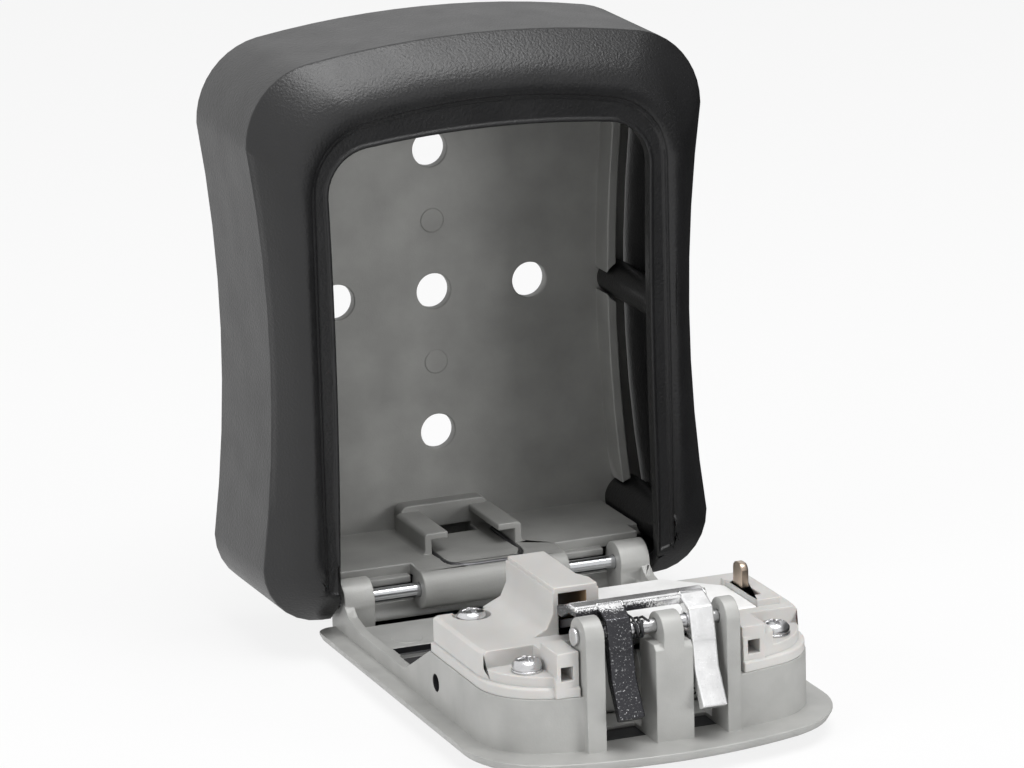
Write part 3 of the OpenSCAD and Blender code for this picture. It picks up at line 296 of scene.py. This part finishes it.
# Painted light: a brown for the light that comes through the tower's walls.
tower_painted_light = finish("tower_painted_light", (0.30, 0.20, 0.12), 0.5, patch=0.1, grain=0.3, depth=0.01, glow_through=0.2)
slots = {part["node"]: part["material_slot"] for part in frame["record"]["subparts"]}
home = {node: body for body, held in frame["record"]["behaviour"]["bodies"].items() for node in held}
print("finishes:", len(finishes), "for", len(slots), "nodes")

# %% [markdown]
# CAD edges are perfectly sharp, and real ones never are: a casting or a moulding leaves its tool
# with small rounds, and a stamping with broken edges. So each solid is taken over as a copy. Its
# triangles are merged, flat ones are joined again, and then the sharp edges get a small round.
# The copy takes the solid's place in the picture, while the solid stays behind as the exact shape.
# The rounds could also come from a Bevel modifier, but the operator can pick its edges.

# %% Take over a solid
def place_piece(bm, name, body, slot, stands_for=None, smooth=35, second=None):
    """A finished piece from bm: shaded, given its finish, and set on the body that carries it."""
    bmesh.ops.recalc_face_normals(bm, faces=bm.faces)
    mesh = bpy.data.meshes.new(name)
    bm.to_mesh(mesh)
    bm.free()
    mesh.shade_smooth()
    mesh.set_sharp_from_angle(angle=math.radians(smooth))
    piece = bpy.data.objects.new(name, mesh)
    scene.collection.objects.link(piece)
    even = piece.modifiers.new("even_shading", "WEIGHTED_NORMAL")
    even.keep_sharp = True
    mesh.materials.append(finishes[slot])
    if second:
        mesh.materials.append(second)
    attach(piece, body)
    if stands_for:
        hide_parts(stands_for)
    print(name + ":", len(mesh.polygons), "faces on", body)
    return piece


def merged(node, flat=0.6):
    """A bmesh of a CAD node: one vertex at each corner, and flat neighbours joined into one face."""
    bm = bmesh.new()
    bm.from_mesh(nodes[node].data)
    bmesh.ops.remove_doubles(bm, verts=bm.verts, dist=0.002 * MM)
    if flat:
        bmesh.ops.dissolve_limit(bm, angle_limit=math.radians(flat), verts=bm.verts, edges=bm.edges)
    return bm


def round_edges(bm, radius, sharp=40, steps=2, hollow=True, leave=frozenset()):
    """Rounds edges of more than sharp degrees: without hollow outer ones only, and none among leave."""
    edges = [e for e in bm.edges if e.is_manifold and e.calc_face_angle() > math.radians(sharp)
             and (hollow or e.calc_face_angle_signed() > 0) and not leave.issuperset(e.verts)]
    bmesh.ops.bevel(bm, geom=edges, offset=radius * MM, segments=steps, profile=0.5, affect="EDGES",
                    clamp_overlap=False, loop_slide=True, material=-1)


def carried(node, name, radius, sharp=40, hollow=True):
    """A solid taken over with rounded edges, under a maker's name for the piece."""
    bm = merged(node)
    if radius:
        round_edges(bm, radius, sharp, hollow=hollow)
    return place_piece(bm, name, home[node], slots[node], stands_for=node)


def inside(face, low, high):
    """Whether the middle of a face lies between two corners."""
    middle = face.calc_center_median()
    return all(low[i] <= middle[i] <= high[i] for i in range(3))


# %% [markdown]
# Places on the open door are easier to say in the door's own terms: how far across from the hinge
# pin, and how far up from it. The pin's own solid gives the point to count from. Flat faces are
# found again by the way they look and by their level.

# %% Places on the open door
pin_low, pin_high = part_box("hinge_pin")
HINGE = (Vector(pin_low) + Vector(pin_high)) / 2
OUT, UPWARD = Vector((0, -1, 0)), Vector((0, 0, 1))
SQUARE_ON, NEAR = 0.99, 0.05


def on_door(x, across, up):
    """A point of the open door, from millimetres sideways, away from the hinge and up from the pin."""
    return Vector((x * MM, HINGE.y - across * MM, HINGE.z + up * MM))


def level_faces(bm, way, place):
    """The faces that look one way and lie at the level of a place."""
    return [f for f in bm.faces if f.normal.dot(way) > SQUARE_ON
            and abs((f.calc_center_median() - place).dot(way)) < NEAR * MM]


print("hinge at", [round(v / MM, 1) for v in HINGE], "mm")

# %% [markdown]
# The shell is moulded in black plastic. Its sloped border ends at a rim, and inside the rim runs a
# flat ledge with fine steps, where the tool's halves met. Two insets of the ledge's faces draw
# them: one keeps a margin, and the next sinks what is left by a third of a millimetre. The
# triangles are joined to quads first, so that the rounds and insets run evenly along the border.

# %% Shell
LEDGE_DOWN = 1.0
LEDGE_MARGIN, STEP_RUN, STEP_DEPTH = 0.8, 0.06, 0.35
QUAD_BEND, QUAD_SKEW = 8, 175
BORDER_SHARP = 33

shell = merged("shell", flat=0)
bmesh.ops.join_triangles(shell, faces=shell.faces, angle_face_threshold=math.radians(QUAD_BEND),
                         angle_shape_threshold=math.radians(QUAD_SKEW))
ledge = level_faces(shell, OUT, Vector(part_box("shell")[0]) - OUT * LEDGE_DOWN * MM)
step = set()
for run, down in ((LEDGE_MARGIN, 0), (STEP_RUN, STEP_DEPTH)):
    bmesh.ops.inset_region(shell, faces=ledge, thickness=run * MM, depth=-down * MM, use_even_offset=False)
    step |= {v for f in ledge for v in f.verts}
round_edges(shell, 0.3, sharp=BORDER_SHARP, hollow=False, leave=step)
print("ledge faces:", len(ledge))
place_piece(shell, "case_shell", home["shell"], slots["shell"], stands_for="shell", smooth=30)

# %% [markdown]
# The housing is a zinc casting with a slightly grainy face. The pin through its barrel is drawn
# steel, polished along its length, so its grain is stretched. The wire loop is dark spring wire.

# %% Housing, pin and wire
carried("housing", "inner_housing", 0.3, hollow=False)
carried("hinge_pin", "hinge_pin_metal", 0)
carried("clip_wire", "clip_wire_metal", 0)
carried("case_screws", "case_screws_metal", 0.12)

# %% [markdown]
# The door is cast like the housing. Left of the lock its floor has an opening, where the black
# insert shows through from the front. Its outline is cut into the floor's faces with three planes,
# and an inset with hardly any width sinks it like a pit. Those faces take the black finish. The
# tapped hole in the left wall takes it too, as painted shade, since it is too deep and narrow for light to
# get in.

# %% Door
WINDOW_LEFT, WINDOW_RIGHT = -28.7, -17
WINDOW_BACK, WINDOW_LIP, WINDOW_END = 20.5, 24.0, 33
WINDOW_DEPTH = 2.4
PIT_LIP = 0.02
TAP_X, TAP_ACROSS, TAP_UP = -28.4, 53.2, -1.0
TAP_DEEP, TAP_HALF = 3.8, 1.7
DECK_UP, PAN_UP = -4.3, -5.1


def cut_level(bm, up, point, normal):
    """Cuts only the faces that look up at one height with a plane."""
    faces = level_faces(bm, UPWARD, on_door(0, 0, up))
    geom = faces + list({e for f in faces for e in f.edges}) + list({v for f in faces for v in f.verts})
    bmesh.ops.bisect_plane(bm, geom=geom, dist=0.001 * MM, plane_co=point, plane_no=normal)


door = merged("door")
for up in (DECK_UP, PAN_UP):
    cut_level(door, up, on_door(WINDOW_LEFT, 0, 0), (1, 0, 0))
    cut_level(door, up, on_door(WINDOW_RIGHT, 0, 0), (1, 0, 0))
for up, across in ((DECK_UP, WINDOW_BACK), (DECK_UP, WINDOW_LIP), (PAN_UP, WINDOW_END)):
    cut_level(door, up, on_door(0, across, 0), (0, 1, 0))
pit_corners = (on_door(WINDOW_LEFT, WINDOW_LIP, DECK_UP - 1),
               on_door(WINDOW_RIGHT, WINDOW_BACK, DECK_UP + 1))
pit = [f for f in level_faces(door, UPWARD, on_door(0, 0, DECK_UP)) if inside(f, *pit_corners)]
bmesh.ops.inset_region(door, faces=pit, thickness=PIT_LIP * MM, depth=-WINDOW_DEPTH * MM)
round_edges(door, 0.15, hollow=False)
tap_hole_painted_shade = (on_door(TAP_X - TAP_DEEP, TAP_ACROSS + TAP_HALF, TAP_UP - TAP_HALF),
            on_door(TAP_X, TAP_ACROSS - TAP_HALF, TAP_UP + TAP_HALF))
opening = (on_door(WINDOW_LEFT, WINDOW_END, DECK_UP - WINDOW_DEPTH - 0.1),
           on_door(WINDOW_RIGHT, WINDOW_BACK, DECK_UP + 0.01))
# The tapped hole's faces are painted black as shade; the opening's black is the insert's own.
for face in door.faces:
    if inside(face, *opening) or inside(face, *tap_hole_painted_shade):
        face.material_index = 1
place_piece(door, "door_casting", home["door"], slots["door"], stands_for="door",
            second=finishes["insert_black"])
print("faces of the opening:", len(pit))

# %% [markdown]
# Behind the hinge the door's skin runs on and turns up into a low wall, which closes the slit
# under the barrel when the door is shut. It is a strip with one section all along: a few corners
# make the section, an extrusion gives it its length, and two bevels turn its bends into radii.

# %% Door's back wall
WALL_HALF = 32.0
WALL_SKIN, WALL_FRONT = (-8.2, -5.9), 2.8
WALL_BACK, WALL_IN, WALL_TOP = -4.7, -3.5, -2.9
BEND_OUT, BEND_IN = 2.0, 1.9

section = [(WALL_FRONT, WALL_SKIN[0]), (WALL_FRONT, WALL_SKIN[1]), (WALL_IN, WALL_SKIN[1]),
           (WALL_IN, WALL_TOP), (WALL_BACK, WALL_TOP), (WALL_BACK, WALL_SKIN[0])]
back_wall = bmesh.new()
corners = [back_wall.verts.new(on_door(-WALL_HALF, across, up)) for across, up in section]
outline = back_wall.faces.new(corners)
drawn = bmesh.ops.extrude_face_region(back_wall, geom=[outline])["geom"]
bmesh.ops.translate(back_wall, vec=(2 * WALL_HALF * MM, 0, 0),
                    verts=[v for v in drawn if isinstance(v, bmesh.types.BMVert)])
bmesh.ops.recalc_face_normals(back_wall, faces=back_wall.faces)


def long_edges(bm, across, up):
    """The edges that run sideways through one corner of the section."""
    corner = on_door(0, across, up)
    return [e for e in bm.edges if all((v.co - corner).yz.length < NEAR * MM for v in e.verts)]


for corner, radius in (((WALL_BACK, WALL_SKIN[0]), BEND_OUT), ((WALL_IN, WALL_SKIN[1]), BEND_IN)):
    bmesh.ops.bevel(back_wall, geom=long_edges(back_wall, *corner), offset=radius * MM, segments=6,
                    profile=0.5, affect="EDGES", material=-1)
round_edges(back_wall, 0.25, sharp=60, hollow=False)
place_piece(back_wall, "door_back_wall", home["door"], slots["door"])

# %% [markdown]
# The cover is a light moulding of glass filled plastic, which lets a little light in at its thin
# edges, so its finish scatters light below the surface. Inside the tower it looks brown, where
# light has gone through the walls: that light is painted, as a brown finish on those faces.

# %% Cover, its plate and its screws
TOWER_IN = (-15.1, 72.4, 9.0), (-9.4, 50.4, 19.3)
FRONT_RIM = 0.9

cover = merged("mechanism_cover")
round_edges(cover, 0.15, hollow=False)
cover.normal_update()
tower_room = [on_door(*corner) for corner in TOWER_IN]
# The faces inside the tower get the painted light.
tower_painted_light_faces = [f for f in cover.faces if f.normal.dot(OUT) < FRONT_RIM and inside(f, *tower_room)]
for face in tower_painted_light_faces:
    face.material_index = 1
place_piece(cover, "cover_moulding", home["mechanism_cover"], slots["mechanism_cover"],
            stands_for="mechanism_cover", second=tower_painted_light)
carried("lock_bridge", "bridge_plate", 0.25)
carried("cover_screws", "cover_screw_heads", 0.1)
carried("cover_washers", "cover_washer_rings", 0.08)
print("faces inside the tower:", len(tower_painted_light_faces))

# %% [markdown]
# The latch is punched from thick sheet, bent and chromed. Chrome mirrors what is around it, and on
# a cheap stamping it is spotted. A fine noise cut at a level gives the spots; raised towards the
# left and below the bar's top, it also paints the left arm's darker reflection as spots grown together.

# %% Latch
SPOT_LOW, SPOT_HIGH = 0.6, 0.84


def spotted(mat, dark, x_clear, x_full, z_clear, z_full, spot, left_painted_reflection):
    """Dark spots on a finish, and a painted dark reflection that grows from clear to full sideways and down;
    all in millimetres.
    """
    tree = mat.node_tree
    shader = tree.nodes["Principled BSDF"]
    bright = shader.inputs["Base Color"].links[0].from_socket
    place, apart = coordinates(tree, "Object")
    side = graded(tree, apart["X"], x_clear * MM, x_full * MM, 0, left_painted_reflection)
    down = graded(tree, apart["Z"], z_clear * MM, z_full * MM, 0, 1)
    noise = add(tree, "TexNoise", {"Vector": place, "Scale": 1 / (spot * MM), "Detail": 6, "Roughness": 0.6})
    total = maths(tree, "ADD", noise.outputs[0], maths(tree, "MULTIPLY", side, down))
    level = graded(tree, total, SPOT_LOW, SPOT_HIGH, 0, 1, "SMOOTHSTEP")
    mix = add(tree, "Mix", {})
    mix.data_type = "RGBA"
    feed(tree, mix, {0: level, 6: bright, 7: (*dark, 1)})
    feed(tree, shader, {"Base Color": mix.outputs[2]})


bar_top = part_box("latch")[1][2] / MM
# Painted reflection: the spots darken the left arm and the parts below the bar's top.
spotted(finishes["latch_chrome"], (0.05, 0.05, 0.055), x_clear=3.5, x_full=-4, z_clear=bar_top - 0.1,
        z_full=bar_top - 1.2, spot=0.35, left_painted_reflection=0.4)
carried("latch", "latch_bar", 0.3)
carried("latch_pin", "latch_pin_rod", 0.15)

# %% [markdown]
# Small metal parts: the reset tab is bronze-coloured, the springs are blackened, and the shaft of
# the dials is plain steel. Round stock needs no rounding, so it is only shaded smooth. A tongue in
# front of the tab moves with it and closes its slot from below, as a dust cover does.

# %% Tab, springs and shaft
TONGUE_LOW, TONGUE_HIGH = (24.3, 69.8, 9.9), (26.8, 65.3, 10.2)

carried("reset_lever", "reset_tab", 0.2)
tongue = bmesh.new()
corner_low, corner_high = on_door(*TONGUE_LOW), on_door(*TONGUE_HIGH)
bmesh.ops.create_cube(tongue, size=1)
bmesh.ops.scale(tongue, vec=corner_high - corner_low, verts=tongue.verts)
bmesh.ops.translate(tongue, vec=(corner_low + corner_high) / 2, verts=tongue.verts)
round_edges(tongue, 0.08)
place_piece(tongue, "reset_tab_tongue", home["reset_lever"], slots["mechanism_cover"])
for node in ("latch_spring", "detent_spring", "dial_shaft"):
    carried(node, node + "_steel", 0)

# %% [markdown]
# The front face has a black insert with a shutter that slides over the dials, and the release
# slider's button. Nobody sees it while the door hangs open, but it shows when the door is shut.

# %% Front
carried("front_insert", "insert_frame", 0.2)
carried("shutter", "shutter_slide_piece", 0.2)
carried("release_slider", "release_plate", 0.15)

# %% [markdown]
# Each dial is a white ten-sided wheel with plain numbers, one on each flat. A number starts as a
# text curve, becomes a mesh, and is then turned about the wheel's axis to its flat. It could be
# sunk with a boolean, but a film of colour that stands a hair proud is what printing looks like.

# %% Dials and their numbers
NUMBER_SIZE, NUMBER_FILM = 4.2, 0.03
FLATS = 10


def number_mesh(number):
    """A mesh of one digit, centred, that faces up."""
    letters = bpy.data.curves.new("number", "FONT")
    letters.body = str(number)
    letters.size = NUMBER_SIZE * MM
    letters.extrude = NUMBER_FILM * MM
    letters.align_x, letters.align_y = "CENTER", "CENTER"
    sign = bpy.data.objects.new("number", letters)
    scene.collection.objects.link(sign)
    mesh = bpy.data.meshes.new_from_object(sign.evaluated_get(bpy.context.evaluated_depsgraph_get()))
    bpy.data.objects.remove(sign)
    bpy.data.curves.remove(letters)
    return mesh


number_meshes = [number_mesh(number) for number in range(FLATS)]
TO_FRONT = Matrix(((1, 0, 0), (0, -1, 0), (0, 0, -1))).to_4x4()


def numbered_wheel(node, name):
    """A dial with its ten numbers in a ring."""
    carried(node, name, 0.2)
    low, high = (Vector(corner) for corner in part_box(node))
    flat = (high.z - low.z) / 2
    ring = bmesh.new()
    for number, mesh in enumerate(number_meshes):
        before = set(ring.verts)
        ring.from_mesh(mesh)
        turn = Matrix.Rotation(number * math.tau / FLATS, 4, "X")
        seat = Matrix.Translation((low + high) / 2) @ turn @ TO_FRONT @ Matrix.Translation((0, 0, flat))
        bmesh.ops.transform(ring, matrix=seat, verts=[v for v in ring.verts if v not in before])
    place_piece(ring, name + "_numbers", home[node], slots["front_insert"])


for place in (1, 2, 3, 4):
    numbered_wheel(f"dial_{place}", f"wheel_{place}")
    carried(f"sleeve_{place}", f"bush_{place}", 0.06)
